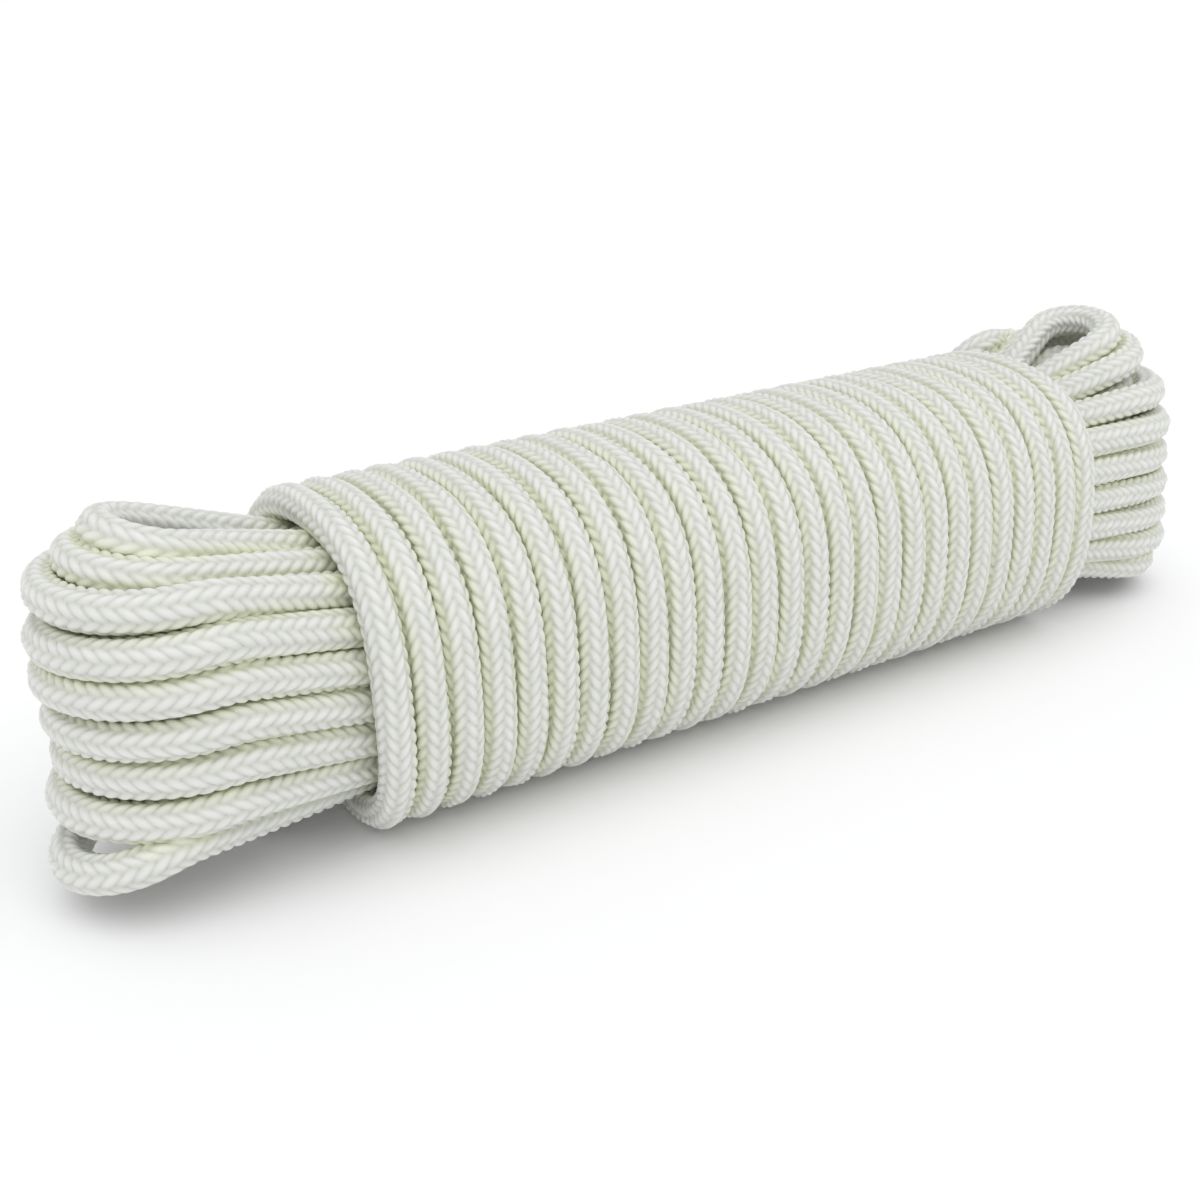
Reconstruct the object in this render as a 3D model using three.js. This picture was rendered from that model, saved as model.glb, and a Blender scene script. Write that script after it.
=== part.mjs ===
// A hank of half-inch double-braid dock line, in millimetres.
// The line is laid up in long flat loops, round and round the same way, which make a bundle of runs
// in three layers. Its last length is then wound round the middle of the bundle and ties it up.
// +X runs along the hank, +Z is up, and the hank lies on the plane z = 0 with its middle at x = y = 0.
//
// The line is one piece. Each loop, each turn and each end of it is a solid of its own here,
// cut where the next one begins.

import * as THREE from "three";

// Driving dimensions.
const LINE = 12.7; // diameter of the line
const TURNS = 27; // turns of the wrapping
const PITCH = 0.975 * LINE; // the turns are drawn tight, so they flatten a little
const WRAP_WIDTH = 9.1 * LINE;
const WRAP_HEIGHT = 9.05 * LINE;
const SQUARENESS = 2.56; // 2 is an ellipse, and more is squarer
const GAP = 0.35; // between solids that touch in the real hank
const ROLL = 0.35 * LINE; // how far the bundle is turned inside the wrapping, near side up
const LEAN_UP = -0.2 * LINE; // how far the top of each turn leads its middle, along the hank
const LEAN_ACROSS = 0.3 * LINE; // how far the far side of each turn leads its middle
const LEAN_TOP = 0.35 * LINE; // how far the top of each turn lies over, along the hank

const MOUTH = (TURNS * PITCH) / 2; // where the bundle leaves the wrapping
const MIDDLE = WRAP_HEIGHT / 2;

// The layers of the bundle, from the inside out: the depth of their centres under the outside of
// the wrapping, and the runs that each has on the near side and again on the far side.
const LAYERS = [
  { depth: 3.57 * LINE, runs: 3 },
  { depth: 2.57 * LINE, runs: 6 },
  { depth: 1.57 * LINE, runs: 10 },
];

const several = (count, make) => Array.from({ length: count }, (_, i) => make(i));

// The end of a loop, in line diameters: half its width, its reach from the middle of the hank, its
// heights on the near and the far side, its shift to the far side and the sag of its tip.
const row = (half, reach, near, far, shift = 0, sag = 0) => ({ half, reach, near, far, shift, sag });

// The ends of the loops, from the first loop laid to the last.
const LEFT_ENDS = [
  ...several(3, (i) => row(1.02, 17.5, 5.5 - i, 5.3 - i, -0.15)),
  ...several(5, (i) => row(2.05, 18.7, 3.0 + 1.01 * i, 2.8 + 1.01 * i, -0.2)),
  row(0.88, 17.0, 7.25, 7.18),
  row(1.2, 18.2, 8.8, 8.8, 0, -0.35),
  row(1.85, 18.85, 8.3, 8.2, 0, -0.3),
  row(2.75, 19.6, 8.05, 7.7, -0.1),
  row(3.1, 19.75, 7.15, 6.3, -0.2),
  row(3.15, 19.75, 6.16, 5.3, -0.2),
  row(3.15, 19.6, 5.12, 4.1, -0.2),
  row(3.1, 19.5, 4.06, 3.1, -0.2),
  row(3.05, 19.75, 3.0, 2.2, -0.2, 0.1),
  row(2.0, 20.1, 2.05, 1.6, -0.85, 0.6),
];
const RIGHT_ENDS = [
  ...several(3, (i) => row(1.02, 17.2, 5.5 - i, 5.3 - i)),
  ...several(5, (i) => row(1.9, 18.2, 2.9 + 1.12 * i, 2.8 + 1.1 * i)),
  row(0.9, 17.3, 8.1, 8.15),
  row(1.25, 17.4, 9.1, 9.3, 0, -0.35),
  row(2.03, 18.2, 8.48, 8.6, 0, -0.3),
  row(2.78, 19.15, 7.5, 7.3),
  row(3.1, 19.45, 6.45, 5.9),
  row(3.15, 19.5, 5.4, 4.8),
  row(3.15, 19.7, 4.35, 3.7),
  row(3.1, 19.9, 3.25, 2.65),
  row(3.0, 20.1, 2.2, 1.6),
  row(2.7, 19.9, 1.3, 0.78, 0, 0.15),
  row(1.05, 18.0, 1.2, 1.1, 0, 0.3),
];

// The line's last length climbs the far side once more, just outside the last turn, and is laid
// away along the bundle behind the top loops: [from the mouth, across, height] in line diameters.
const TAIL = [
  [0.55, 3.72, 6.7],
  [0.72, 3.2, 7.65],
  [1.15, 2.7, 8.38],
  [1.85, 2.6, 8.62],
  [2.7, 2.83, 8.45],
  [3.5, 3.0, 8.33],
];

const COVER = { color: 0xe9ebe6, roughness: 0.62, metalness: 0 };
const MELTED = { color: 0xd9d3bd, roughness: 0.35, metalness: 0 };
const BIGHT_STEPS = 6;
const FLARE_STEPS = 2;
const TURN_STEPS = 20;
const SECTION_SIDES = 8;
const WRAP_ACROSS = PITCH - 2 * GAP; // across the flats of a turn's section
const RUN_ACROSS = 0.745 * LINE; // across the flats of a loop's section, which clears its neighbours
const LEAVES = 2.5 * LINE; // how far inside the mouth a loop's own points start
const SPREAD_START = { left: MOUTH - 0.8 * LINE, right: MOUTH + 0.4 * LINE }; // where runs part
const FIRST_TURN = -0.25 + 0.5 / TURN_STEPS; // so that a straight step lies flat under each turn
const LAST_TURN = FIRST_TURN + TURNS;
const TIP_LENGTH = 4; // of a melted end
const UP = new THREE.Vector3(0, 0, 1);

// A point of the wrapping's oval: angle 0 is the top, and a quarter turn is the near side.
function oval(angle, halfWidth, halfHeight) {
  const across = Math.abs(Math.sin(angle)) / halfWidth;
  const up = Math.abs(Math.cos(angle)) / halfHeight;
  const radius = (across ** SQUARENESS + up ** SQUARENESS) ** (-1 / SQUARENESS);
  return { y: -radius * Math.sin(angle), z: radius * Math.cos(angle) };
}

const smooth = (t) => t * t * (3 - 2 * t);

// A point of the wrapping's centreline, counted in turns from the top of the first.
function wrapPoint(turn) {
  const angle = 2 * Math.PI * turn;
  const { y, z } = oval(angle, (WRAP_WIDTH - LINE) / 2, (WRAP_HEIGHT - LINE) / 2);
  const lean = LEAN_UP * Math.cos(angle) - LEAN_ACROSS * Math.sin(angle);
  const liesOver = LEAN_TOP * ((1 + Math.cos(angle)) / 2) ** 2;
  const along = PITCH * (turn - TURNS / 2 + 0.25) + lean + liesOver;
  return new THREE.Vector3(along, y, MIDDLE + z);
}

// Where the runs of one layer lie, evenly along its oval from the top down both sides.
function layerSlots({ depth, runs }) {
  const halfWidth = WRAP_WIDTH / 2 - depth;
  const halfHeight = WRAP_HEIGHT / 2 - depth;
  const outline = new THREE.CurvePath();
  const corners = several(361, (i) => {
    const { y, z } = oval((2 * Math.PI * i) / 360, halfWidth, halfHeight);
    return new THREE.Vector2(y, MIDDLE + z);
  });
  corners.slice(1).forEach((corner, i) => outline.add(new THREE.LineCurve(corners[i], corner)));
  const around = outline.getLength();
  const roll = (ROLL * halfWidth) / (WRAP_WIDTH / 2 - LAYERS[LAYERS.length - 1].depth);
  const at = (length) => outline.getPoint((((length % around) + around) % around) / around);
  const step = around / 2 / runs;
  return {
    near: several(runs, (i) => at((i + 0.5) * step - roll)),
    far: several(runs, (i) => at(-(i + 0.5) * step - roll)),
  };
}

// One end of a loop: a run leaves the wrapping, spreads, turns round and comes back.
// side is -1 where the run that leaves is on the near side.
function bight(end, side, leaving, coming, shape) {
  const half = shape.half * LINE;
  const shift = shape.shift * LINE;
  const centre = shape.reach * LINE - half;
  const heights = side < 0 ? [shape.near, shape.far] : [shape.far, shape.near];
  const start = end < 0 ? SPREAD_START.left : SPREAD_START.right;
  const spread = (slot, edge, height, t) =>
    new THREE.Vector3(
      end * THREE.MathUtils.lerp(start, centre, t),
      THREE.MathUtils.lerp(slot.x, shift + edge * half, t),
      THREE.MathUtils.lerp(slot.y, height * LINE, t),
    );
  const points = [new THREE.Vector3(end * (MOUTH - LEAVES), leaving.x, leaving.y)];
  for (let i = 0; i < FLARE_STEPS; i++) {
    points.push(spread(leaving, side, heights[0], i / FLARE_STEPS));
  }
  for (let i = 0; i <= BIGHT_STEPS; i++) {
    const angle = (Math.PI * i) / BIGHT_STEPS;
    const height = THREE.MathUtils.lerp(heights[0], heights[1], i / BIGHT_STEPS);
    points.push(
      new THREE.Vector3(
        end * (centre + half * Math.sin(angle)),
        shift + side * half * Math.cos(angle),
        (height - shape.sag * Math.sin(angle)) * LINE,
      ),
    );
  }
  for (let i = FLARE_STEPS - 1; i >= 0; i--) {
    points.push(spread(coming, -side, heights[1], i / FLARE_STEPS));
  }
  points.push(new THREE.Vector3(end * (MOUTH - LEAVES), coming.x, coming.y));
  return points;
}

// The bundle's loops in the order in which they are laid: far run, right end, near run, left end.
function loopRoutes() {
  const [inner, middle, outer] = LAYERS.map(layerSlots);
  const near = [...inner.near, ...middle.near.reverse(), ...outer.near];
  const far = [...inner.far, ...middle.far.reverse(), ...outer.far];
  return near.map((slot, i) => {
    const start = new THREE.Vector3(-(MOUTH - LEAVES), far[i].x, far[i].y);
    const points = [start, ...bight(1, 1, far[i], slot, RIGHT_ENDS[i])];
    if (i < LEFT_ENDS.length) {
      return [...points, ...bight(-1, -1, slot, far[i + 1], LEFT_ENDS[i])];
    }
    return [...points, new THREE.Vector3(-MOUTH, slot.x, slot.y)];
  });
}

// The last run leaves the bundle underneath, turns across and climbs into the first turn.
function leadInRoute(from) {
  const steps = 4;
  const climb = several(steps + 1, (i) => {
    const point = wrapPoint(FIRST_TURN - 0.25 * (1 - i / steps));
    point.x -= 1.88 * LINE * smooth(1 - i / steps);
    return point;
  });
  const across = climb[0].clone().add(new THREE.Vector3(0.31, -1, 0.3).multiplyScalar(LINE));
  const leaving = from.clone().add(new THREE.Vector3(-0.7 * LINE, 0, 0));
  return [from, leaving, across, ...climb];
}

function turnRoute(index) {
  return several(TURN_STEPS + 1, (i) => wrapPoint(FIRST_TURN + index + i / TURN_STEPS));
}

// Level and square to the line where a turn passes under the hank, which makes it flat there.
function acrossUnderside() {
  const halfStep = 0.5 / TURN_STEPS;
  return wrapPoint(0.5 + halfStep).sub(wrapPoint(0.5 - halfStep)).cross(UP).normalize();
}

function tailRoute() {
  const mouth = new THREE.Vector3(MOUTH, 0, 0);
  const points = TAIL.map((place) => new THREE.Vector3(...place).multiplyScalar(LINE).add(mouth));
  return [wrapPoint(LAST_TURN), ...points];
}

// A curve that goes through the given points and nothing else. before and after are the line's
// next points past its two ends, so that two stretches that meet are cut by the same plane.
// facing, where it is given, is the way that two of the tube's flats face all along it.
class Route extends THREE.Curve {
  constructor({ points, facing }, before = points[0], after = points[points.length - 1]) {
    super();
    this.points = points;
    this.facing = facing;
    this.all = [before, ...points, after];
  }

  indexAt(t) {
    return Math.round(t * (this.points.length - 1));
  }

  getPoint(t) {
    return this.points[this.indexAt(t)].clone();
  }

  getPointAt(t) {
    return this.getPoint(t);
  }

  getTangentAt(t) {
    const i = this.indexAt(t);
    return this.all[i + 2].clone().sub(this.all[i]).normalize();
  }

  computeFrenetFrames(steps, closed) {
    if (!this.facing) {
      return super.computeFrenetFrames(steps, closed);
    }
    const tangents = several(steps + 1, (i) => this.getTangentAt(i / steps));
    const binormals = tangents.map((tangent) => this.facing.clone().projectOnPlane(tangent).normalize());
    const normals = tangents.map((tangent, i) => binormals[i].clone().cross(tangent));
    return { tangents, normals, binormals };
  }

  // Moves the first point along the route, which leaves a gap behind it.
  pullBack(gap) {
    this.points[0] = this.points[0].clone().addScaledVector(this.getTangentAt(0), gap);
    return this;
  }
}

// A tube with eight flat sides.
function tube(route, across) {
  const radius = across / 2 / Math.cos(Math.PI / SECTION_SIDES);
  const corners = several(SECTION_SIDES, (i) => {
    const angle = (2 * Math.PI * (i + 0.5)) / SECTION_SIDES;
    return new THREE.Vector2(radius * Math.cos(angle), radius * Math.sin(angle));
  });
  return new THREE.ExtrudeGeometry(new THREE.Shape(corners), {
    extrudePath: route,
    steps: route.points.length - 1,
  });
}

// The line's end, melted so that it can't fray: a blunt round nose past the end of a route.
function meltedEnd(points, across) {
  const last = points[points.length - 1];
  const direction = last.clone().sub(points[points.length - 2]).normalize();
  const radius = across / 2;
  const profile = [
    new THREE.Vector2(0, 0),
    new THREE.Vector2(radius, 0),
    new THREE.Vector2(radius, TIP_LENGTH * 0.5),
    new THREE.Vector2(radius * 0.8, TIP_LENGTH * 0.85),
    new THREE.Vector2(0, TIP_LENGTH),
  ];
  const geometry = new THREE.LatheGeometry(profile, 12);
  geometry.applyQuaternion(new THREE.Quaternion().setFromUnitVectors(new THREE.Vector3(0, 1, 0), direction));
  const place = last.clone().addScaledVector(direction, GAP);
  return geometry.translate(place.x, place.y, place.z);
}

function piece(name, geometry, look) {
  const mesh = new THREE.Mesh(geometry, new THREE.MeshStandardMaterial(look));
  mesh.name = name;
  return mesh;
}

const numbered = (name, index) => `${name}_${String(index + 1).padStart(2, "0")}`;

// The stretches of the line in order, each from where the one before ends.
function stretches() {
  const loops = loopRoutes();
  const exit = loops[loops.length - 1];
  const turns = several(TURNS, turnRoute);
  return [
    ...loops.map((points, i) => ({
      name: numbered("hank_loop", i),
      points,
      across: RUN_ACROSS,
      facing: UP,
    })),
    { name: "wrap_lead_in", points: leadInRoute(exit[exit.length - 1]), across: RUN_ACROSS },
    ...turns.map((points, i) => ({
      name: numbered("wrap_turn", i),
      points,
      across: WRAP_ACROSS,
      facing: acrossUnderside(),
    })),
    { name: "wrap_tail", points: tailRoute(), across: RUN_ACROSS },
  ];
}

function build() {
  const hank = new THREE.Group();
  hank.name = "dock_line_hank";
  const line = stretches();
  line.forEach((stretch, i) => {
    const before = line[i - 1]?.points.at(-2);
    const after = line[i + 1]?.points[1];
    const route = new Route(stretch, before, after).pullBack(GAP);
    hank.add(piece(stretch.name, tube(route, stretch.across), COVER));
  });
  const inner = line[0].points.slice(0, 2).reverse();
  hank.add(piece("melted_end_inner", meltedEnd(inner, RUN_ACROSS), MELTED));
  hank.add(piece("melted_end_outer", meltedEnd(line.at(-1).points, RUN_ACROSS), MELTED));
  standOnPlane(hank);
  return hank;
}

// The flats under the turns are what the hank rests on, so they come down to z = 0.
function standOnPlane(group) {
  const lowest = new THREE.Box3().setFromObject(group).min.z;
  group.children.forEach((mesh) => mesh.geometry.translate(0, 0, -lowest));
}

export default build();
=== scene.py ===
"""A hank of half-inch white double-braid dock line, with every yarn of its cover laid along the line.

The route is the one that the CAD's solids follow: nineteen flat loops in three layers, then
twenty-seven turns round the middle, all one line. Lengths are in metres.
"""

import math

import bpy
import numpy as np
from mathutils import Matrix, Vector
from mathutils.kdtree import KDTree


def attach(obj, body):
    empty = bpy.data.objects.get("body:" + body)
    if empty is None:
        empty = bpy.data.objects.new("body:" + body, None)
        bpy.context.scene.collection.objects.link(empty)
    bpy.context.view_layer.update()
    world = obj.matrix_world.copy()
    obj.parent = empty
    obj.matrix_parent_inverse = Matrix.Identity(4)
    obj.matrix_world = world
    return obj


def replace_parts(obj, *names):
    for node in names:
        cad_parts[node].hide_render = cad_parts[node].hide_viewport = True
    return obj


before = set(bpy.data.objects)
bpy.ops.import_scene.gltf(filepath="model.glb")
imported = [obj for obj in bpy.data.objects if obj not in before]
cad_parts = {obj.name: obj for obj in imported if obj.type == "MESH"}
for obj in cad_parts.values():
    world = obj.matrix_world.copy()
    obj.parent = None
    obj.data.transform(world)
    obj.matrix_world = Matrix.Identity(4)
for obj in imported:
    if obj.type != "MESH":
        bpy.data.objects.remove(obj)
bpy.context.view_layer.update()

# The line and the hank, with the CAD's own sizes.
LINE = 0.0127
TURNS = 27
PITCH = 0.975 * LINE
WRAP_WIDTH = 9.1 * LINE
WRAP_HEIGHT = 9.05 * LINE
SQUARENESS = 2.56  # 2 is an ellipse, and more is squarer
ROLL = 0.35 * LINE  # how far the bundle is turned inside the wrapping, near side up
LEAN_UP = -0.2 * LINE  # how far the top of each turn leads its middle, along the hank
LEAN_ACROSS = 0.3 * LINE  # how far the far side of each turn leads its middle
LEAN_TOP = 0.35 * LINE  # how far the top of each turn lies over, along the hank
MOUTH = TURNS * PITCH / 2  # where the bundle leaves the wrapping
MIDDLE = WRAP_HEIGHT / 2
LEAVES = 2.5 * LINE  # how far inside the mouth a loop's own points start
SPREAD_START_LEFT = MOUTH - 0.8 * LINE  # where the runs part
SPREAD_START_RIGHT = MOUTH + 0.4 * LINE
CAD_TURN_STEPS = 20
FIRST_TURN = -0.25 + 0.5 / CAD_TURN_STEPS
LAYERS = ((3.57 * LINE, 3), (2.57 * LINE, 6), (1.57 * LINE, 10))  # depth and runs of each
LEAD_IN_BACK = 1.88 * LINE  # how far before the first turn the climb starts, under the bundle
LEAD_IN_OUT = 0.7 * LINE  # how far the last run goes on past the mouth before it turns across
LEAD_IN_CROSSING = (0.31 * LINE, -LINE, 0.3 * LINE)  # a place on the way across, from the climb

# The end of a loop, in line diameters: half width, reach from the middle of the hank, height on
# the near side and on the far side, shift to the far side, sag of its tip.
LEFT_ENDS = (
    [(1.02, 17.5, 5.5 - i, 5.3 - i, -0.15, 0) for i in range(3)]
    + [(2.05, 18.7, 3.0 + 1.01 * i, 2.8 + 1.01 * i, -0.2, 0) for i in range(5)]
    + [
        (0.88, 17.0, 7.25, 7.18, 0, 0),
        (1.2, 18.2, 8.8, 8.8, 0, -0.35),
        (1.85, 18.85, 8.3, 8.2, 0, -0.3),
        (2.75, 19.6, 8.05, 7.7, -0.1, 0),
        (3.1, 19.75, 7.15, 6.3, -0.2, 0),
        (3.15, 19.75, 6.16, 5.3, -0.2, 0),
        (3.15, 19.6, 5.12, 4.1, -0.2, 0),
        (3.1, 19.5, 4.06, 3.1, -0.2, 0),
        (3.05, 19.75, 3.0, 2.2, -0.2, 0.1),
        (2.0, 20.1, 2.05, 1.6, -0.85, 0.6),
    ]
)
RIGHT_ENDS = (
    [(1.02, 17.2, 5.5 - i, 5.3 - i, 0, 0) for i in range(3)]
    + [(1.9, 18.2, 2.9 + 1.12 * i, 2.8 + 1.1 * i, 0, 0) for i in range(5)]
    + [
        (0.9, 17.3, 8.1, 8.15, 0, 0),
        (1.25, 17.4, 9.1, 9.3, 0, -0.35),
        (2.03, 18.2, 8.48, 8.6, 0, -0.3),
        (2.78, 19.15, 7.5, 7.3, 0, 0),
        (3.1, 19.45, 6.45, 5.9, 0, 0),
        (3.15, 19.5, 5.4, 4.8, 0, 0),
        (3.15, 19.7, 4.35, 3.7, 0, 0),
        (3.1, 19.9, 3.25, 2.65, 0, 0),
        (3.0, 20.1, 2.2, 1.6, 0, 0),
        (2.7, 19.9, 1.3, 0.78, 0, 0.15),
        (1.05, 18.0, 1.2, 1.1, 0, 0.3),
    ]
)
# The last length climbs the far side once more, just outside the last turn, and is laid away along
# the bundle behind the top loops: from the mouth, across and height in line diameters.
TAIL = (
    (0.55, 3.72, 6.7),
    (0.72, 3.2, 7.65),
    (1.15, 2.7, 8.38),
    (1.85, 2.6, 8.62),
    (2.7, 2.83, 8.45),
    (3.5, 3.0, 8.33),
)
VISIBLE_LAYER_START = 9  # the first loop of the outer layer

# The cover: sixteen yarns, half of them each way round, each over two and under two, so that
# eight columns of picks run along the line and lean alternately.
COLUMNS = 8
CROSSINGS = 2 * COLUMNS  # the lines along the rope on which the two ways round cross
PICK = 0.35 * LINE  # from one pick to the next along a column
YARN_CROWN = 0.055 * LINE  # how round a yarn's back is
PICK_RISE = 0.06 * LINE  # how far a yarn rises where it is over, and sinks where it is under
THICKNESS_WOBBLE = 0.008  # how unevenly thick the line is, as a share of its diameter
WOBBLE_SEED = 5
SLACK_THICKNESS = 1.06  # of the line in the loops' ends, against the turns that are drawn tight
OPEN_GAP = 0.88 * LINE  # nearer than this to another stretch's middle, the cover is in a crevice
CLOSED_GAP = 0.55 * LINE
NEIGHBOURS_WITHIN = 2 * LINE
SAME_STRETCH = 3 * LINE  # nearer than this along the line, a place isn't on another stretch
CREVICE_PICKS = 2  # crevices change slowly, so they are worked out at every second pick
CREVICE_SIDES = 3  # and at every third point round the line
TWIST_LENGTH = 55 * LINE  # the columns go once round the line in this length
CENTRE_STEP = 0.1 * LINE  # between points of the centreline
EASED_POINTS = 17  # of the centreline, over which its sharpest bends are spread
SEARCHED_EVERY = 3  # how many points of the centreline apart the places for finding neighbours are
TURNS_PER_PIECE = 3
TAIL_STOPS = 0.3 * PICK  # how far before the melted end the cover's last ring is asked for

# The core, which is just thinner than the cover's deepest hollows.
CORE_RADIUS = 0.365 * LINE
CORE_STEP = 0.5 * LINE
CORE_SIDES = 12

# The melted ends.
TIP_LENGTH = 0.004
BEAD_ROLL = 0.9  # how far a melted end's bead rolls back inside the cover, in radians
BEAD_SET_BACK = 0.1 * LINE  # how far the bead's widest place is from the end of the line
BEAD_BLUNTNESS = 0.6  # 1 is evenly round, and less is blunter

# The covers of the loops' ends: which ends, in how many pieces, with how many points to a pick.
END_PIECES = (("outer_left", 3, 6), ("outer_right", 3, 6), ("inner_left", 1, 4), ("inner_right", 1, 4))

# The colours, from the top of a yarn's back to the hollows between yarns: the yarns' own white, made
# lighter on the backs as painted highlight and darker and yellower in the hollows as painted shade.
YARN_CROWN_HIGHLIGHT = (0.785, 0.785, 0.755)
YARN_WHITE = (0.70, 0.705, 0.665)
YARN_HOLLOW_SHADE = (0.53, 0.545, 0.44)
CREVICE_TINT = (1.02, 1.04, 0.86)  # light comes through the nylon where stretches touch
GREYEST_TINT = (0.93, 0.94, 0.93)  # of some lengths of yarn against others
PLAIN_TINT = (1.0, 1.0, 1.0)
FIBRES_PER_YARN = 9
MELTED_DARK = (0.70, 0.63, 0.45)
MELTED_PALE = (0.83, 0.81, 0.70)

# The view: from the near left, a little above.
VIEW_AZIMUTH = math.radians(-35.35)
VIEW_ELEVATION = math.radians(22.4)
VIEW_DISTANCE = 46.7 * LINE
VIEW_CENTRE = (-3.89 * LINE, 0, 4.03 * LINE)
LENS = 47.75  # mm
SENSOR = 36  # mm
FLOOR_SIZE = 60  # so large that the floor fills the view
FLOOR_GREYS = (0.94, 0.96)
WORLD_COLOUR = (0.98, 0.985, 1.0, 1)
WORLD_STRENGTH = 0.82
DIFFUSER_STRENGTH = 0.9  # from above, over so wide an angle that the floor is even to its far edge
DIFFUSER_ANGLE = math.radians(70)
DIFFUSER_TILT = (math.radians(20), math.radians(-8), 0)
SOFTBOX_PLACE = (0.35, -1.4, 1.3)
SOFTBOX_SIZE = 0.35
SOFTBOX_WATTS = 1


# ---------------------------------------------------------------- the route


def oval(angle, half_width, half_height):
    """A point of the wrapping's oval: angle 0 is the top, and a quarter turn is the near side."""
    across = abs(math.sin(angle)) / half_width
    up = abs(math.cos(angle)) / half_height
    radius = (across**SQUARENESS + up**SQUARENESS) ** (-1 / SQUARENESS)
    return -radius * math.sin(angle), radius * math.cos(angle)


def wrap_point(turn):
    """A point of the wrapping's centreline, counted in turns from the top of the first."""
    angle = 2 * math.pi * turn
    y, z = oval(angle, (WRAP_WIDTH - LINE) / 2, (WRAP_HEIGHT - LINE) / 2)
    lean = LEAN_UP * math.cos(angle) - LEAN_ACROSS * math.sin(angle)
    lies_over = LEAN_TOP * ((1 + math.cos(angle)) / 2) ** 2
    along = PITCH * (turn - TURNS / 2 + 0.25) + lean + lies_over
    return [along, y, MIDDLE + z]


def layer_slots(depth, runs):
    """Where the runs of one layer lie, evenly along its oval from the top down both sides."""
    half_width, half_height = WRAP_WIDTH / 2 - depth, WRAP_HEIGHT / 2 - depth
    ring = np.array([oval(2 * math.pi * i / 360, half_width, half_height) for i in range(361)])
    along = np.concatenate([[0], np.cumsum(np.linalg.norm(np.diff(ring, axis=0), axis=1))])
    roll = ROLL * half_width / (WRAP_WIDTH / 2 - LAYERS[-1][0])
    step = along[-1] / 2 / runs

    def at(length):
        length %= along[-1]
        y, z = (np.interp(length, along, ring[:, axis]) for axis in (0, 1))
        return y, MIDDLE + z

    near = [at((i + 0.5) * step - roll) for i in range(runs)]
    far = [at(-(i + 0.5) * step - roll) for i in range(runs)]
    return near, far


def smooth(t):
    return t * t * (3 - 2 * t)


def mix(a, b, t):
    return a + (b - a) * t


def bight(end, side, leaving, coming, shape, flare_steps=4, arc_steps=10):
    """One end of a loop: a run leaves the wrapping, spreads, turns round and comes back."""
    half, reach, near, far, shift, sag = (value * LINE for value in shape)
    centre = reach - half
    first, last = (near, far) if side < 0 else (far, near)
    start = SPREAD_START_LEFT if end < 0 else SPREAD_START_RIGHT

    def spread(slot, edge, height, t):
        return [
            end * mix(start, centre, t),
            mix(slot[0], shift + edge * half, t),
            mix(slot[1], height, t),
        ]

    points = [[end * (MOUTH - LEAVES), *leaving]]
    for i in range(flare_steps):
        points.append(spread(leaving, side, first, i / flare_steps))
    for i in range(arc_steps + 1):
        angle = math.pi * i / arc_steps
        points.append(
            [
                end * (centre + half * math.sin(angle)),
                shift + side * half * math.cos(angle),
                mix(first, last, i / arc_steps) - sag * math.sin(angle),
            ]
        )
    for i in reversed(range(flare_steps)):
        points.append(spread(coming, -side, last, i / flare_steps))
    points.append([end * (MOUTH - LEAVES), *coming])
    return points


def loop_routes():
    """The loops in the order in which they are laid: far run, right end, near run, left end."""
    (inner_near, inner_far), (middle_near, middle_far), (outer_near, outer_far) = (
        layer_slots(depth, runs) for depth, runs in LAYERS
    )
    near = inner_near + middle_near[::-1] + outer_near
    far = inner_far + middle_far[::-1] + outer_far
    routes = []
    for i, slot in enumerate(near):
        right = bight(1, 1, far[i], slot, RIGHT_ENDS[i])
        left = bight(-1, -1, slot, far[i + 1], LEFT_ENDS[i]) if i < len(LEFT_ENDS) else []
        routes.append((right, left))
    return routes


def lead_in_route(slot):
    """The last run leaves the bundle underneath, turns across and climbs into the first turn."""
    steps = 4
    climb = []
    for i in range(steps):
        x, y, z = wrap_point(FIRST_TURN - 0.25 * (1 - i / steps))
        climb.append([x - LEAD_IN_BACK * smooth(1 - i / steps), y, z])
    across = [start + offset for start, offset in zip(climb[0], LEAD_IN_CROSSING)]
    leaving = [[-MOUTH, *slot], [-MOUTH - LEAD_IN_OUT, *slot]]
    return [*leaving, across, *climb]


def wrap_route(steps=24):
    return [wrap_point(FIRST_TURN + i / steps) for i in range(TURNS * steps + 1)]


def tail_route():
    return [[MOUTH + out * LINE, across * LINE, up * LINE] for out, across, up in TAIL]


def through(points, step):
    """A smooth line through the points (a centripetal Catmull-Rom curve), with a point every step."""
    p = np.array(points, float)
    p = np.vstack([2 * p[0] - p[1], p, 2 * p[-1] - p[-2]])
    out = []
    for p0, p1, p2, p3 in zip(p, p[1:], p[2:], p[3:]):
        gaps = [math.sqrt(np.linalg.norm(b - a)) for a, b in ((p0, p1), (p1, p2), (p2, p3))]
        t0, t1, t2, t3 = np.concatenate([[0], np.cumsum(gaps)])
        count = max(1, round(float(np.linalg.norm(p2 - p1)) / step))
        t = np.linspace(t1, t2, count, endpoint=False)[:, None]
        a1 = (t1 - t) / (t1 - t0) * p0 + (t - t0) / (t1 - t0) * p1
        a2 = (t2 - t) / (t2 - t1) * p1 + (t - t1) / (t2 - t1) * p2
        a3 = (t3 - t) / (t3 - t2) * p2 + (t - t2) / (t3 - t2) * p3
        b1 = (t2 - t) / (t2 - t0) * a1 + (t - t0) / (t2 - t0) * a2
        b2 = (t3 - t) / (t3 - t1) * a2 + (t - t1) / (t3 - t1) * a3
        out.append((t2 - t) / (t2 - t1) * b1 + (t - t1) / (t2 - t1) * b2)
    return np.vstack([*out, p[-2:-1]])


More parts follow.
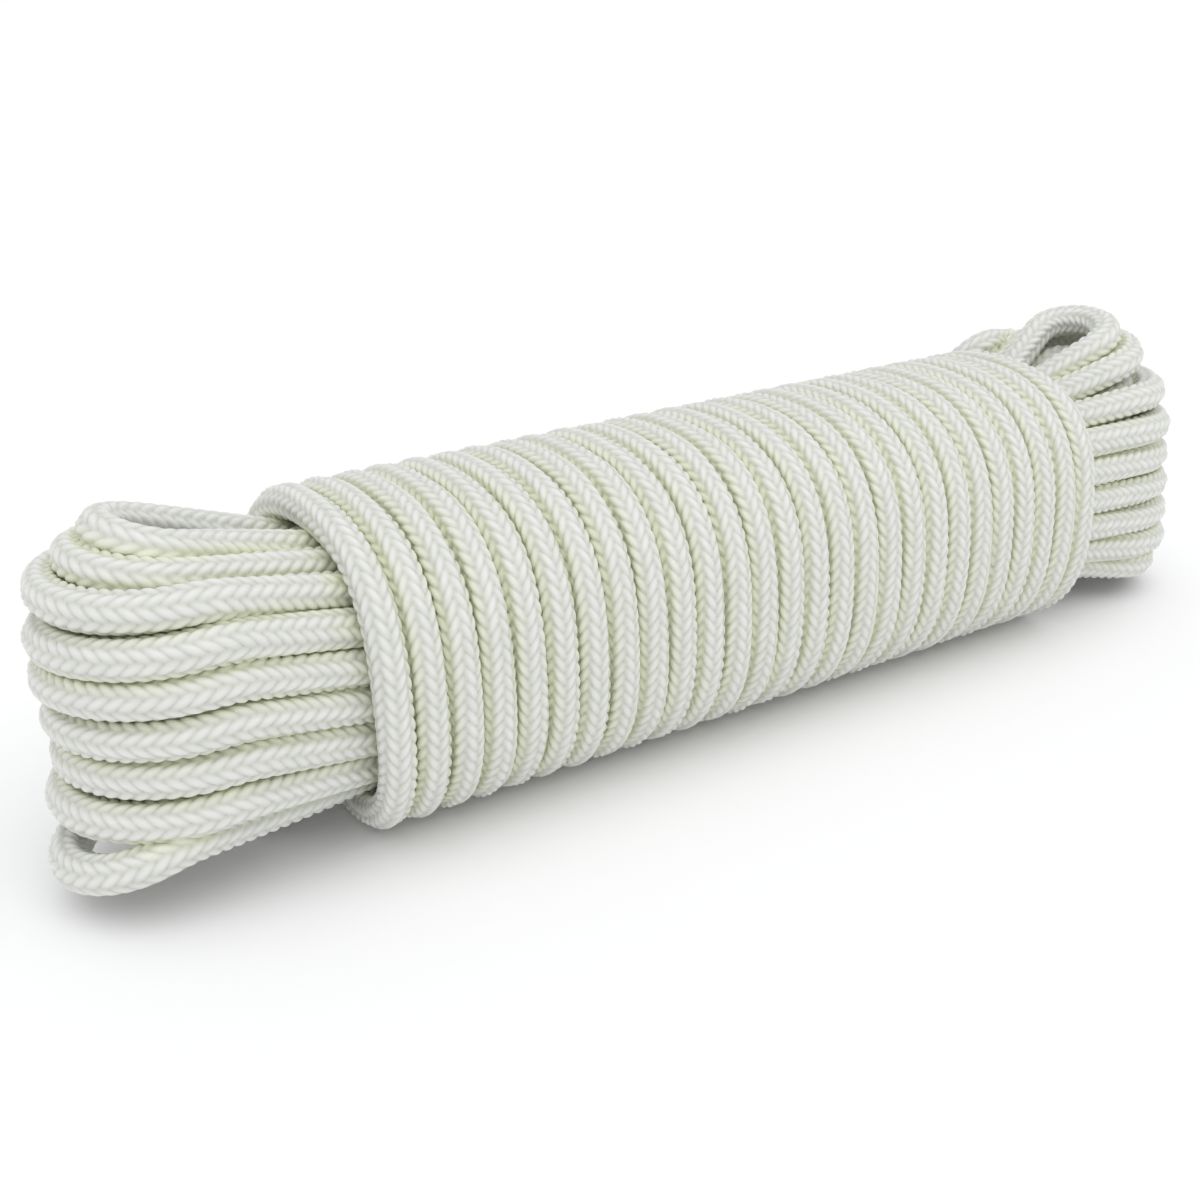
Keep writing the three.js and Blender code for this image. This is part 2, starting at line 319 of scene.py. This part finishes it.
def eased(points, width):
    """The same line with its sharpest bends spread over so many points of it."""
    weights = np.hanning(width + 2)[1:-1]
    weights /= weights.sum()
    longer = np.pad(points, ((width // 2, width // 2), (0, 0)), mode="reflect", reflect_type="odd")
    return np.stack([np.convolve(longer[:, k], weights, mode="valid") for k in range(3)], axis=1)


def outward(normal, binormal, angles):
    """The ways out from the centreline, with a row for each length and a column for each angle."""
    return normal[:, None] * np.cos(angles)[..., None] + binormal[:, None] * np.sin(angles)[..., None]


class Line:
    """The whole line's centreline, with a frame that doesn't twist about it."""

    def __init__(self, points):
        self.points = eased(through(points, CENTRE_STEP), EASED_POINTS)
        gaps = np.linalg.norm(np.diff(self.points, axis=0), axis=1)
        self.along = np.concatenate([[0], np.cumsum(gaps)])
        self.length = float(self.along[-1])
        self.tangent = np.gradient(self.points, self.along, axis=0)
        self.tangent /= np.linalg.norm(self.tangent, axis=1)[:, None]
        self.normal = self.carried_normals()
        spaced = range(0, len(self.points), SEARCHED_EVERY)
        self.tree = KDTree(len(spaced))
        for i in spaced:
            self.tree.insert(self.points[i], i)
        self.tree.balance()

    def carried_normals(self):
        normals = np.empty_like(self.points)
        normal = np.array([0.0, 0.0, 1.0])
        for i, tangent in enumerate(self.tangent):
            normal = normal - tangent * float(normal @ tangent)
            normal /= math.sqrt(float(normal @ normal))
            normals[i] = normal
        return normals

    def at(self, lengths):
        """Centres, normals and binormals at lengths from the start."""
        centre = self.sampled(self.points, lengths)
        tangent = self.sampled(self.tangent, lengths)
        tangent /= np.linalg.norm(tangent, axis=1)[:, None]
        normal = self.sampled(self.normal, lengths)
        normal -= tangent * (normal * tangent).sum(axis=1)[:, None]
        normal /= np.linalg.norm(normal, axis=1)[:, None]
        return centre, normal, np.cross(tangent, normal)

    def sampled(self, values, lengths):
        return np.stack([np.interp(lengths, self.along, values[:, k]) for k in range(3)], axis=1)

    def crevices(self, lengths, angles):
        """How deep each place on the cover is between other stretches of the line, from 0 to 1."""
        centre, normal, binormal = self.at(lengths)
        surface = centre[:, None] + 0.5 * LINE * outward(normal, binormal, angles)
        gap = np.full(angles.shape, OPEN_GAP)
        for row, (place, length) in enumerate(zip(centre, lengths)):
            around = self.tree.find_range(place, NEIGHBOURS_WITHIN)
            others = [i for _, i, _ in around if abs(self.along[i] - length) > SAME_STRETCH]
            if others:
                away = np.linalg.norm(surface[row][:, None] - self.points[others][None], axis=2)
                gap[row] = away.min(axis=1)
        return smooth(np.clip((OPEN_GAP - gap) / (OPEN_GAP - CLOSED_GAP), 0, 1))

    def nearest(self, point):
        """The length from the start to the centre nearest a point."""
        return float(self.along[np.linalg.norm(self.points - np.array(point), axis=1).argmin()])


def whole_route():
    """The route's points, and the stretches that show as (name, first point, last point)."""
    points, shown = [], []
    routes = loop_routes()
    first_far = routes[0][0][0]
    points.append([-MOUTH + 0.5 * LINE, first_far[1], first_far[2]])
    for i, (right, left) in enumerate(routes):
        kind = "outer" if i >= VISIBLE_LAYER_START else "inner"
        for side, end in (("right", right), ("left", left)):
            if end:
                shown.append((f"{kind}_{side}", len(points), len(points) + len(end) - 1))
                points += end
    exit_slot = routes[-1][0][-1][1:]
    wrapping_starts = len(points)
    points += lead_in_route(exit_slot) + wrap_route() + tail_route()
    return points, shown, wrapping_starts


# ---------------------------------------------------------------- the meshes


def wobble(lengths, seed, shortest=4 * LINE, longest=40 * LINE, waves=6):
    """A slow irregular wave along the line, about one high, the same on every run."""
    random = np.random.default_rng(seed)
    value = np.zeros_like(lengths)
    for wavelength in np.geomspace(shortest, longest, waves):
        value += np.sin(2 * math.pi * (lengths / wavelength + random.random()))
    return value / math.sqrt(waves)


def mesh_piece(name, vertices, faces, material):
    """A smooth piece that rides on the hank, from faces that all have as many corners."""
    mesh = bpy.data.meshes.new(name)
    corners = faces.shape[1]
    mesh.vertices.add(len(vertices))
    mesh.vertices.foreach_set("co", np.ascontiguousarray(vertices, np.float32).ravel())
    mesh.loops.add(faces.size)
    mesh.loops.foreach_set("vertex_index", np.ascontiguousarray(faces, np.int32).ravel())
    mesh.polygons.add(len(faces))
    mesh.polygons.foreach_set("loop_start", np.arange(0, faces.size, corners, dtype=np.int32))
    mesh.update(calc_edges=True)
    mesh.shade_smooth()
    mesh.materials.append(material)
    piece = bpy.data.objects.new(name, mesh)
    bpy.context.scene.collection.objects.link(piece)
    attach(piece, "root")
    return piece


def tube_grid(line, lengths, radius, angles):
    """Points round the line, where radius has a row for each length and a column for each angle."""
    centre, normal, binormal = line.at(lengths)
    out = outward(normal, binormal, angles)
    return (centre[:, None, :] + out * radius[..., None]).reshape(-1, 3)


def yarn_crown(position):
    """How high a yarn's round back stands at a place across it, from 0 at its edges to 1."""
    off_middle = 2 * (position - np.floor(position)) - 1
    return 1 - off_middle**2


def finer(values, coarse_lengths, lengths, sides):
    """Coarse values round the line, worked out again at every length and side."""
    rows = np.stack([np.interp(lengths, coarse_lengths, column) for column in values.T], axis=1)
    rows = np.hstack([rows, rows[:, :1]])
    coarse_sides = np.linspace(0, sides, rows.shape[1])
    before = np.searchsorted(coarse_sides, np.arange(sides), side="right") - 1
    t = (np.arange(sides) - coarse_sides[before]) / (coarse_sides[1] - coarse_sides[0])
    return rows[:, before] * (1 - t) + rows[:, before + 1] * t


def cover_stretch(line, start, end, detail, thickness):
    """The cover braid over one stretch of the line.

    The two ways round cross on sixteen lines along the rope. One way is over on two of them and
    the other way on the next two, and a yarn moves one pick along while it is over.
    Gives its points, how deep each is in the braid and in a crevice, its faces and their yarn map.
    """
    first = round(start / PICK * detail)
    rings = round(end / PICK * detail) - first + 1
    sides = COLUMNS * detail
    # A quarter pick and half a crossing put the yarns' edges on diagonals of the grid.
    pick = 0.25 + (first + np.arange(rings))[:, None] / detail
    crossing = 0.5 + np.arange(sides + 1)[None, :] * 2 / detail
    lengths = pick[:, 0] * PICK
    one_way = pick - crossing / 2
    other_way = pick + crossing / 2
    over = np.cos(2 * math.pi * (crossing - 0.5) / 4)
    height = np.maximum(
        PICK_RISE * over + YARN_CROWN * yarn_crown(one_way),
        -PICK_RISE * over + YARN_CROWN * yarn_crown(other_way),
    )[:, :sides]
    highest = PICK_RISE + YARN_CROWN
    uneven = 1 + THICKNESS_WOBBLE * wobble(lengths, WOBBLE_SEED)[:, None]
    radius = (thickness * LINE / 2 - highest + height) * uneven
    angles = 2 * math.pi * (crossing[:, :sides] / CROSSINGS + lengths[:, None] / TWIST_LENGTH)
    points = tube_grid(line, lengths, radius, angles)

    # Each face of the grid is cut in two along the yarn that is on top there.
    ring, side = np.meshgrid(np.arange(rings - 1), np.arange(sides), indexing="ij")
    leads = np.cos(2 * math.pi * (side + 0.5) / detail / 2) > 0
    lead_corners = ((0, 0), (0, 1), (1, 1)), ((0, 0), (1, 1), (1, 0))
    other_corners = ((0, 0), (0, 1), (1, 0)), ((0, 1), (1, 1), (1, 0))
    faces, strands = [], []
    for of_lead, of_other in zip(lead_corners, other_corners):
        corner_faces, corner_strands = [], []
        for (lead_ring, lead_side), (other_ring, other_side) in zip(of_lead, of_other):
            r = ring + np.where(leads, lead_ring, other_ring)
            c = side + np.where(leads, lead_side, other_side)
            across = np.where(leads, one_way[r, c], other_way[r, c])
            along = np.where(leads, 1, -1) * crossing[0, c] / 2
            corner_faces.append(r * sides + c % sides)
            corner_strands.append(np.stack([across, along], axis=-1))
        faces.append(np.stack(corner_faces, axis=-1).reshape(-1, 3))
        strands.append(np.stack(corner_strands, axis=-2).reshape(-1, 3, 2))
    # How deep each point is in the braid, which the cover's colour turns into painted highlight on the
    # yarns' backs and painted shade in the hollows.
    depth = (highest - height) / highest
    coarse = np.unique([*range(0, rings, CREVICE_PICKS * detail), rings - 1])
    crevice = line.crevices(lengths[coarse], angles[coarse, ::CREVICE_SIDES])
    crevice = finer(crevice, lengths[coarse], lengths, sides)
    return points, np.stack([depth, crevice], axis=-1), np.concatenate(faces), np.concatenate(strands)


def cover_piece(name, line, stretches, material, detail=6, thickness=1):
    """One piece of the cover braid, over several stretches of the line."""
    points, depths, faces, strands = [], [], [], []
    count = 0
    for start, end in stretches:
        stretch = cover_stretch(line, start, end, detail, thickness)
        points.append(stretch[0])
        depths.append(stretch[1])
        faces.append(stretch[2] + count)
        strands.append(stretch[3])
        count += len(stretch[0])
    piece = mesh_piece(name, np.concatenate(points), np.concatenate(faces), material)
    for i, attribute in enumerate(("depth", "crevice")):
        values = np.concatenate([depth[..., i].ravel() for depth in depths])
        layer = piece.data.attributes.new(attribute, "FLOAT", "POINT")
        layer.data.foreach_set("value", values.astype(np.float32))
    strand_map = piece.data.uv_layers.new(name="strands")
    strand_map.data.foreach_set("uv", np.concatenate(strands).astype(np.float32).ravel())
    return piece


def core_piece(line, material):
    """The core braid, a plain tube from end to end inside the cover."""
    count = round(line.length / CORE_STEP) + 1
    lengths = np.linspace(0, line.length, count)
    angles = np.linspace(0, 2 * math.pi, CORE_SIDES, endpoint=False)[None, :] + np.zeros((count, 1))
    radius = np.full(angles.shape, CORE_RADIUS)
    points = tube_grid(line, lengths, radius, angles)
    ring, side = np.meshgrid(np.arange(count - 1), np.arange(CORE_SIDES), indexing="ij")
    here, after = ring * CORE_SIDES, (ring + 1) * CORE_SIDES
    following = (side + 1) % CORE_SIDES
    faces = np.stack([here + side, here + following, after + following, after + side], axis=-1)
    piece = mesh_piece("core_braid", points, faces.reshape(-1, 4), material)
    centres, _, _ = line.at(lengths)
    return piece, centres


def melted_end_piece(name, line, at_start, material):
    """The cut end of the line, melted into a blunt uneven cap."""
    lengths = np.array([0.0 if at_start else line.length])
    centre, normal, binormal = (value[0] for value in line.at(lengths))
    along = np.cross(normal, binormal) * (-1 if at_start else 1)
    rings, sides = 14, 40
    rise = np.linspace(-BEAD_ROLL, math.pi / 2, rings)[:, None]
    turn = np.linspace(0, 2 * math.pi, sides, endpoint=False)[None, :]
    # Three slow bulges and seven small ones go round the cap, which rises and falls twice.
    bulge = 1 + 0.05 * np.sin(3 * turn + 1) * np.sin(2 * rise) + 0.03 * np.sin(7 * turn) * np.cos(rise)
    radius = 0.5 * LINE * np.cos(rise) ** BEAD_BLUNTNESS * bulge
    height = TIP_LENGTH * (np.sin(rise) + 0.12 * np.sin(2 * turn + 2) * np.cos(rise) ** 2)
    flat = outward(normal[None], binormal[None], turn)
    points = centre + flat * radius[..., None] + along * (height - BEAD_SET_BACK)[..., None]
    ring, side = np.meshgrid(np.arange(rings - 1), np.arange(sides), indexing="ij")
    following = (side + 1) % sides
    corners = [ring * sides + side, ring * sides + following]
    corners += [(ring + 1) * sides + following, (ring + 1) * sides + side]
    faces = np.stack(corners if not at_start else corners[::-1], axis=-1).reshape(-1, 4)
    return mesh_piece(name, points.reshape(-1, 3), faces, material)


# ---------------------------------------------------------------- the materials


def node(tree, kind, **values):
    made = tree.nodes.new(kind)
    for name, value in values.items():
        if name in made.inputs:
            made.inputs[name].default_value = value
        else:
            setattr(made, name, value)
    return made


def new_material(name):
    material = bpy.data.materials.new(name)
    material.use_nodes = True
    tree = material.node_tree
    return material, tree, tree.nodes["Principled BSDF"]


def ramp(tree, stops):
    """A colour ramp through (position, colour) stops."""
    made = node(tree, "ShaderNodeValToRGB")
    elements = made.color_ramp.elements
    while len(elements) < len(stops):
        elements.new(0.5)
    for element, (position, colour) in zip(elements, stops):
        element.position = position
        element.color = (*colour, 1)
    return made


def cover_material():
    """White nylon yarns: fine fibres along each yarn, a faint difference from yarn to yarn."""
    material, tree, shader = new_material("white_nylon_braid")
    link = tree.links.new
    strands = node(tree, "ShaderNodeUVMap", uv_map="strands")
    depth = node(tree, "ShaderNodeAttribute", attribute_name="depth")

    # Painted highlight on the yarns' backs and painted shade in the hollows between them, by how deep
    # each place is in the braid.
    colour = ramp(tree, ((0.05, YARN_CROWN_HIGHLIGHT), (0.4, YARN_WHITE), (0.95, YARN_HOLLOW_SHADE)))
    link(depth.outputs["Fac"], colour.inputs["Fac"])

    tint_map = node(tree, "ShaderNodeMapping")
    tint_map.inputs["Scale"].default_value = (1, 0.4, 1)
    link(strands.outputs["UV"], tint_map.inputs["Vector"])
    tint = node(tree, "ShaderNodeTexNoise", Scale=0.7, Detail=2.0)
    link(tint_map.outputs["Vector"], tint.inputs["Vector"])
    tint_ramp = ramp(tree, ((0.3, GREYEST_TINT), (0.7, PLAIN_TINT)))
    link(tint.outputs["Fac"], tint_ramp.inputs["Fac"])
    tinted = node(tree, "ShaderNodeMix", data_type="RGBA", blend_type="MULTIPLY")
    tinted.inputs["Factor"].default_value = 1
    link(colour.outputs["Color"], tinted.inputs["A"])
    link(tint_ramp.outputs["Color"], tinted.inputs["B"])
    crevice = node(tree, "ShaderNodeAttribute", attribute_name="crevice")
    lit = node(tree, "ShaderNodeMix", data_type="RGBA", blend_type="MULTIPLY")
    lit.inputs["B"].default_value = (*CREVICE_TINT, 1)
    link(crevice.outputs["Fac"], lit.inputs["Factor"])
    link(tinted.outputs["Result"], lit.inputs["A"])
    link(lit.outputs["Result"], shader.inputs["Base Color"])

    fibre_map = node(tree, "ShaderNodeMapping")
    fibre_map.inputs["Scale"].default_value = (FIBRES_PER_YARN, 1.5, 1)
    link(strands.outputs["UV"], fibre_map.inputs["Vector"])
    fibres = node(tree, "ShaderNodeTexNoise", Scale=1.0, Detail=3.0, Roughness=0.6)
    link(fibre_map.outputs["Vector"], fibres.inputs["Vector"])
    bump = node(tree, "ShaderNodeBump", Strength=0.5, Distance=0.0003)
    link(fibres.outputs["Fac"], bump.inputs["Height"])
    link(bump.outputs["Normal"], shader.inputs["Normal"])

    rough = node(tree, "ShaderNodeMapRange")
    rough.inputs["To Min"].default_value = 0.28
    rough.inputs["To Max"].default_value = 0.48
    link(fibres.outputs["Fac"], rough.inputs["Value"])
    link(rough.outputs["Result"], shader.inputs["Roughness"])
    shader.inputs["Sheen Weight"].default_value = 0.2
    shader.inputs["Sheen Roughness"].default_value = 0.4
    return material


def core_material():
    """The core's coarser yarns, which the cover hides wherever the line shows."""
    material, tree, shader = new_material("core_yarns")
    link = tree.links.new
    place = node(tree, "ShaderNodeTexCoord")
    weave = node(tree, "ShaderNodeTexVoronoi", Scale=400.0)
    link(place.outputs["Object"], weave.inputs["Vector"])
    # Painted shade: darker away from the middle of each of the core's yarns, in the hollows between
    # them.
    colour = ramp(tree, ((0.0, YARN_WHITE), (0.6, YARN_HOLLOW_SHADE)))
    link(weave.outputs["Distance"], colour.inputs["Fac"])
    link(colour.outputs["Color"], shader.inputs["Base Color"])
    bump = node(tree, "ShaderNodeBump", Strength=0.6, Distance=0.0006, invert=True)
    link(weave.outputs["Distance"], bump.inputs["Height"])
    link(bump.outputs["Normal"], shader.inputs["Normal"])
    shader.inputs["Roughness"].default_value = 0.6
    return material


def melted_material():
    """Nylon that has melted and set: smooth, a little yellow, with small bubbles and drips."""
    material, tree, shader = new_material("melted_nylon")
    link = tree.links.new
    place = node(tree, "ShaderNodeTexCoord")
    clouds = node(tree, "ShaderNodeTexNoise", Scale=350.0, Detail=5.0)
    link(place.outputs["Object"], clouds.inputs["Vector"])
    colour = ramp(tree, ((0.3, MELTED_DARK), (0.7, MELTED_PALE)))
    link(clouds.outputs["Fac"], colour.inputs["Fac"])
    link(colour.outputs["Color"], shader.inputs["Base Color"])
    bump = node(tree, "ShaderNodeBump", Strength=0.5, Distance=0.0005)
    link(clouds.outputs["Fac"], bump.inputs["Height"])
    link(bump.outputs["Normal"], shader.inputs["Normal"])
    shader.inputs["Roughness"].default_value = 0.3
    return material


def floor_material():
    """A pale studio floor with hardly any texture."""
    material, tree, shader = new_material("studio_floor")
    link = tree.links.new
    place = node(tree, "ShaderNodeTexCoord")
    grain = node(tree, "ShaderNodeTexNoise", Scale=3.0, Detail=2.0)
    link(place.outputs["Object"], grain.inputs["Vector"])
    colour = ramp(tree, [(i, (grey, grey, grey)) for i, grey in enumerate(FLOOR_GREYS)])
    link(grain.outputs["Fac"], colour.inputs["Fac"])
    link(colour.outputs["Color"], shader.inputs["Base Color"])
    shader.inputs["Roughness"].default_value = 0.9
    shader.inputs["Specular IOR Level"].default_value = 0.1
    return material


# ---------------------------------------------------------------- the camera and the studio


def add_camera():
    across = math.cos(VIEW_ELEVATION) * VIEW_DISTANCE
    data = bpy.data.cameras.new("camera")
    data.lens = LENS
    data.sensor_width = SENSOR
    data.clip_end = 100
    camera = bpy.data.objects.new("camera", data)
    camera.location = (
        VIEW_CENTRE[0] + math.sin(VIEW_AZIMUTH) * across,
        VIEW_CENTRE[1] - math.cos(VIEW_AZIMUTH) * across,
        VIEW_CENTRE[2] + math.sin(VIEW_ELEVATION) * VIEW_DISTANCE,
    )
    camera.rotation_euler = (math.pi / 2 - VIEW_ELEVATION, 0, VIEW_AZIMUTH)
    bpy.context.scene.collection.objects.link(camera)
    bpy.context.scene.camera = camera


def add_light(name, kind, energy):
    data = bpy.data.lights.new(name, kind)
    data.energy = energy
    light = bpy.data.objects.new(name, data)
    bpy.context.scene.collection.objects.link(light)
    return light


def add_floor():
    half = FLOOR_SIZE / 2
    corners = [(-half, -half, 0), (half, -half, 0), (half, half, 0), (-half, half, 0)]
    mesh = bpy.data.meshes.new("floor")
    mesh.from_pydata(corners, [], [(0, 1, 2, 3)])
    mesh.materials.append(floor_material())
    floor = bpy.data.objects.new("floor", mesh)
    bpy.context.scene.collection.objects.link(floor)


def add_studio():
    add_floor()

    world = bpy.data.worlds.new("studio")
    world.use_nodes = True
    background = world.node_tree.nodes["Background"]
    background.inputs["Color"].default_value = WORLD_COLOUR
    background.inputs["Strength"].default_value = WORLD_STRENGTH
    bpy.context.scene.world = world

    diffuser = add_light("overhead_diffuser", "SUN", DIFFUSER_STRENGTH)
    diffuser.data.angle = DIFFUSER_ANGLE
    diffuser.rotation_euler = DIFFUSER_TILT

    softbox = add_light("front_softbox", "AREA", SOFTBOX_WATTS)
    softbox.data.shape = "SQUARE"
    softbox.data.size = SOFTBOX_SIZE
    softbox.location = SOFTBOX_PLACE
    to_middle = Vector((0, 0, MIDDLE)) - softbox.location
    softbox.rotation_euler = to_middle.to_track_quat("-Z", "Y").to_euler()
    bpy.context.scene.view_settings.view_transform = "Standard"


# ---------------------------------------------------------------- the build


def shared(items, groups):
    """The items in order, shared out over so many groups."""
    return [list(part) for part in np.array_split(np.array(items), groups)]


def numbered(name, first, last):
    return [f"{name}_{i:02d}" for i in range(first, last + 1)]


def add_end_covers(line, points, ends, material):
    """The cover over the loops' ends, where it shows."""
    pieces = []
    for name, groups, detail in END_PIECES:
        stretches = [
            (line.nearest(points[first]), line.nearest(points[last]))
            for kind, first, last in ends
            if kind == name
        ]
        for i, group in enumerate(shared(stretches, groups)):
            piece_name = f"cover_{name}_ends_{i + 1}"
            piece = cover_piece(piece_name, line, group, material, detail, SLACK_THICKNESS)
            pieces.append(piece)
    return pieces


def add_wrapping_covers(line, lead_start, material):
    """The cover from the last run through every turn to the tail's end."""
    turn_starts = [line.nearest(wrap_point(FIRST_TURN + i)) for i in range(TURNS + 1)]
    lead = cover_piece("cover_lead_in", line, [(lead_start, turn_starts[0])], material)
    pieces = [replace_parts(lead, "wrap_lead_in")]
    for first in range(0, TURNS, TURNS_PER_PIECE):
        last = first + TURNS_PER_PIECE
        name = f"cover_turns_{first + 1:02d}_to_{last:02d}"
        turns = cover_piece(name, line, [(turn_starts[first], turn_starts[last])], material)
        pieces.append(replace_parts(turns, *numbered("wrap_turn", first + 1, last)))
    tail_end = line.length - TAIL_STOPS
    tail = cover_piece("cover_tail", line, [(turn_starts[-1], tail_end)], material)
    pieces.append(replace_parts(tail, "wrap_tail"))
    return pieces


def build():
    points, ends, wrapping = whole_route()
    line = Line(points)
    cover = cover_material()
    melted = melted_material()

    core, centres = core_piece(line, core_material())
    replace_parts(core, *numbered("hank_loop", 1, len(RIGHT_ENDS)))
    pieces = add_end_covers(line, points, ends, cover)
    pieces += add_wrapping_covers(line, line.nearest(points[wrapping]), cover)
    for name, at_start in (("melted_end_inner", True), ("melted_end_outer", False)):
        end = melted_end_piece(f"{name}_cap", line, at_start, melted)
        pieces.append(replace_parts(end, name))


add_camera()
build()
add_studio()
